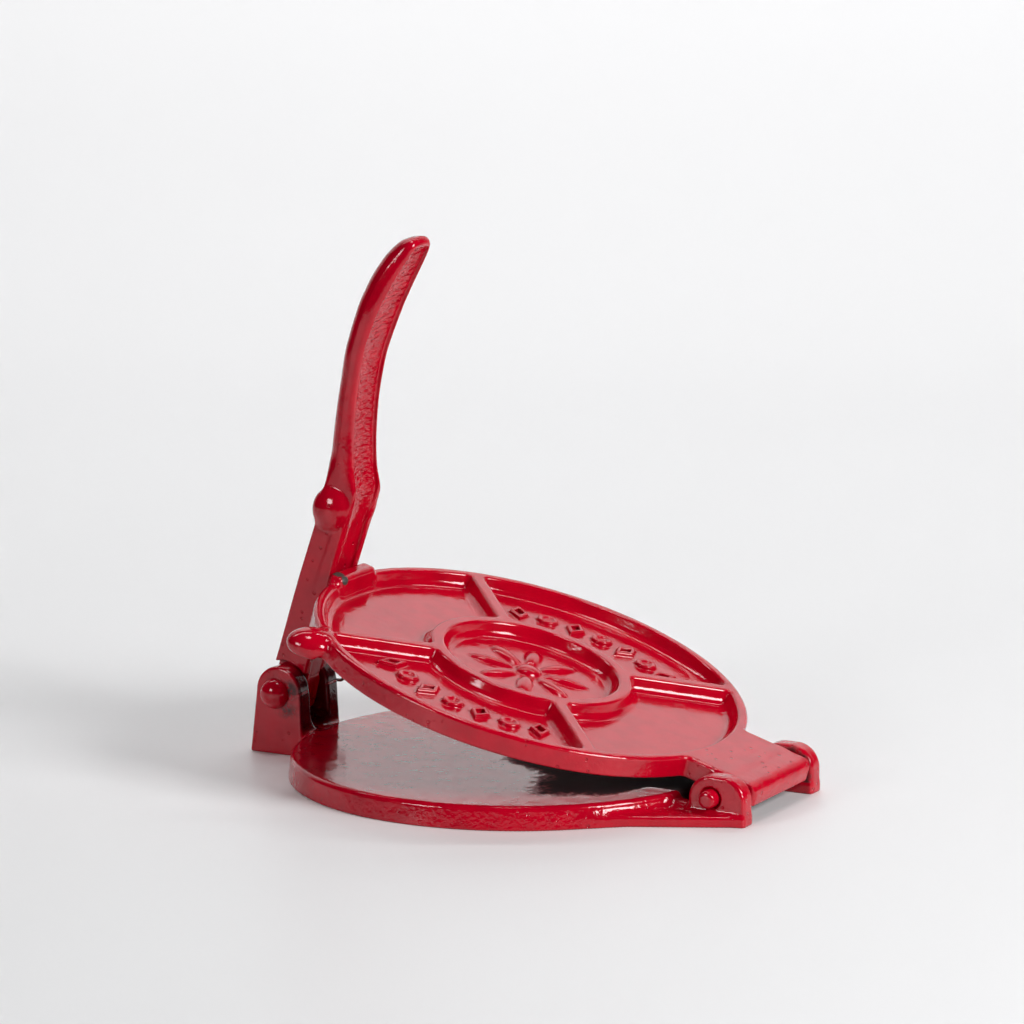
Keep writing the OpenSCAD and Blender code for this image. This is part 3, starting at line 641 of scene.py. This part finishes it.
def build_base():
    """The base, with soot and a painted shadow beside the lever pin's head, a pitted and mottled rim,
    painted shade under the plate, and painted shade on the clevis's inward faces and in its slot."""
    low, high, step = (-125, -99, 0), (126, 99, 40), (0.9, 0.9, 0.75)
    p, faces, normals = level_surface(base_casting, low, high, step)
    x, y, z = p.T
    # Soot beside the lever pin's head; the first patch also paints in the head's shadow, the second is
    # a grey smudge
    soot_and_shadow = np.maximum(2.0 * fade(p, (-103.0, -16.5, 29.0), (5.4, 3.0, 5.6)),
                      1.2 * fade(p, (-104.3, -16.5, 20.2), (7.4, 3.0, 4.8)))
    rim = step_up(np.hypot(x, y), 96.5, 97.8) * step_up(x, -98, -94)
    clevis = step_up(-91 - x, 0, 3)
    # Painted shade on the clevis's faces towards the plate and in its slot
    inward = step_up(normals[:, 0], 0.3, 0.8) * clevis * step_up(z, 9, 13)
    in_slot = step_up(SLOT + 0.9 - np.abs(y), 0, 1.2) * clevis * step_up(z, 9, 12)
    marks = {"soot_and_shadow": np.clip(soot_and_shadow, 0, 1),
             "pitted": np.clip(rim + (x > 100) + (x < -101), 0, 1) * step_up(z, -0.5, 0.5),
             "mottled": rim, "thin": shade_under_plate(x, y, z), "clevis_shade": np.maximum(inward, in_slot)}
    thing = piece("base_casting", p, faces, normals, marks)
    return dress(thing, "base", "base_body", ENAMEL)


def build_lever():
    """The lever, made upright in its own frame and then leaned back on to the plate's nose."""
    low, high, step = (-19, -17, -12), (10, 17, 215), (0.62, 0.62, 0.72)
    p, faces, normals = level_surface(lever_casting, low, high, step)
    marks = {"pitted": 1 - 0.7 * step_up(p[:, 2], 95, 130), "rough": lever_pebble(*p.T)}
    p, normals = turned(p, PIVOT, LEAN), turned(normals, np.zeros(3), LEAN)
    thing = piece("lever_casting", p, faces, normals, marks)
    return dress(thing, "lever", "lever_body", ENAMEL)


def build_hinge_pin():
    """A rod that stands out of both ears, with its ends rounded over."""
    half = FORK + EAR_T + 4.55
    end = [(0, half), (1.8, half), (2.8, half - 0.15), (3.4, half - 0.6), (3.7, half - 1.3),
           (3.85, half - 2.2), (PIN_R, half - 3.8)]
    shank = [(PIN_R, y) for y in np.linspace(-half + 7, half - 7, 9)]
    profile = [(r, -y) for r, y in end] + shank + end[::-1]
    thing = lathe("hinge_rod", profile, HINGE[0], HINGE[2])
    return dress(thing, "hinge_pin", "base_body", ENAMEL)


def build_lever_pin():
    """A pin with a domed head against the clevis's -Y face and a softened far end."""
    face, end = -CLEVIS_W - 0.1, CLEVIS_W + 6.5
    head_r, head_h = 6.7, 5.4
    head = [(r, face - head_h * math.sin(math.acos(min(r / head_r, 1))))
            for r in head_r * np.sin(np.radians(np.linspace(0, 90, 15)))]
    neck = [(6.6, face + 0.05), (4.2, face + 0.05), (PIN_R, face + 0.3)]
    shank = [(PIN_R, y) for y in np.linspace(face + 3, end - 1.3, 12)]
    profile = head + neck + shank + [(3.9, end - 0.9), (3.1, end - 0.1), (2.6, end), (0, end)]
    thing = lathe("lever_pin_rod", profile, PIVOT[0], PIVOT[2])
    return dress(thing, "lever_pin", "base_body", ENAMEL)


def build_clip():
    """A wire clip: one leg through the pin, a round eye, and a leg that hugs the pin and flares."""
    r, eye_r, flare_r = 0.7, 2.2, 4.0
    eye = np.array([11.5, eye_r])
    hug_r = PIN_R + r + 0.15
    up = math.degrees(math.atan2(eye[1], eye[0]) + math.acos((hug_r - eye_r) / np.hypot(*eye)))
    past = up + 50
    turn = math.radians(past)
    flare = np.array([hug_r + flare_r] * 2) * [math.cos(turn), math.sin(turn)]
    path = [(x, 0.0) for x in np.linspace(-9.3, 9.0, 10)]
    path += arc(*eye, eye_r, eye_r, -90, up, 22) + arc(0, 0, hug_r, hug_r, up, past, 10)
    path += arc(*flare, flare_r, flare_r, past + 180, past + 122, 10)[1:]
    path = [(PIVOT[0] + x, CLEVIS_W + 3.25, PIVOT[2] + z) for x, z in path]
    return dress(wire("clip_wire", path, r), "spring_clip", "base_body", STEEL)


build_plate()
build_base()
build_lever()
build_hinge_pin()
build_lever_pin()
build_clip()


# ---- Camera ----
YAW, PITCH, ROLL = math.radians(28.224), math.radians(11.051), math.radians(-0.066)
FORWARD = np.array([-math.sin(YAW), math.cos(YAW), 0.0])
ACROSS = np.array([math.cos(YAW), math.sin(YAW), 0.0])

camera_data = bpy.data.cameras.new("camera")
camera_data.sensor_width = 36.0
camera_data.lens = 192.2
camera_data.clip_end = 50
camera = bpy.data.objects.new("camera", camera_data)
camera.location = (1.0765, -2.0114, 0.5605)
camera.rotation_euler = (math.pi / 2 - PITCH, ROLL, YAW)
bpy.context.collection.objects.link(camera)
bpy.context.scene.camera = camera


# ---- Studio ----
def sweep():
    """The table and its backdrop in one sheet: flat under the object, then curved up into a
    wall. A profile of (distance behind, height) points is carried across the view."""
    profile = [(-620, 0), (-300, 0), (0, 0), (500, 0), (900, 0)]
    profile += [(900 + 500 * math.sin(a), 500 - 500 * math.cos(a))
                for a in np.radians(np.linspace(6, 90, 15))]
    profile += [(1400, 900), (1400, 1500)]
    profile = np.array(profile, float)
    sides = np.linspace(-1800, 1800, 3)
    flat = profile[:, None, :1] * FORWARD + sides[None, :, None] * ACROSS
    points = flat + profile[:, None, 1:] * np.array([0, 0, 1.0])
    n = len(sides)
    j, i = np.meshgrid(np.arange(len(profile) - 1), np.arange(n - 1), indexing="ij")
    a = j * n + i
    quads = np.stack([a, a + 1, a + n + 1, a + n], axis=2).reshape(-1, 4)
    thing = piece("table_sweep", points.reshape(-1, 3), quads.tolist())
    thing.data.materials.append(plain("white_table_laminate", "#ECECED", 0.45))


def softbox(name, place, towards, size, power):
    """A white rectangular area light; places in millimetres, power in watts."""
    data = bpy.data.lights.new(name, "AREA")
    data.shape = "RECTANGLE"
    data.size, data.size_y = size[0] * 0.001, size[1] * 0.001
    data.energy = power
    lamp = bpy.data.objects.new(name, data)
    place, towards = np.array(place, float), np.array(towards, float)
    z = (place - towards) / np.linalg.norm(place - towards)
    x = np.cross([0, 0, 1.0], z)
    x = ACROSS if np.linalg.norm(x) < 1e-3 else x / np.linalg.norm(x)
    y = np.cross(z, x)
    columns = np.stack([x, y, z, place * 0.001], axis=1)
    lamp.matrix_world = Matrix(columns.tolist() + [[0, 0, 0, 1]])
    bpy.context.collection.objects.link(lamp)


def at(behind, right, up):
    """A place in the studio, counted along the view, across it and upwards."""
    return FORWARD * behind + ACROSS * right + np.array([0, 0, up], float)


def pole(azimuth, height, far=1800):
    """A place given by its azimuth from straight behind, its height angle and its distance."""
    a, e = math.radians(azimuth), math.radians(height)
    return at(far * math.cos(e) * math.cos(a), far * math.cos(e) * math.sin(a), far * math.sin(e))


sweep()
aim = at(0, 0, 60)
softbox("key", pole(127.5, 27.5), aim, (650, 700), 30)
softbox("left_front", pole(-130, 22), aim, (450, 450), 7.6)
softbox("overhead", at(-100, 0, 1400), at(-100, 1, 0), (280, 280), 2.6)
softbox("wall_wash", at(700, 0, 1450), at(1400, 0, 300), (2400, 200), 15.2)

world = bpy.data.worlds.new("room")
bpy.context.scene.world = world
world.use_nodes = True
tree = world.node_tree
tree.nodes.clear()
sky = add(tree, "ShaderNodeBackground", Color=colour("#8A8A8C"), Strength=0.004)
add(tree, "ShaderNodeOutputWorld", Surface=sky.outputs[0])

bpy.context.scene.view_settings.view_transform = "Standard"
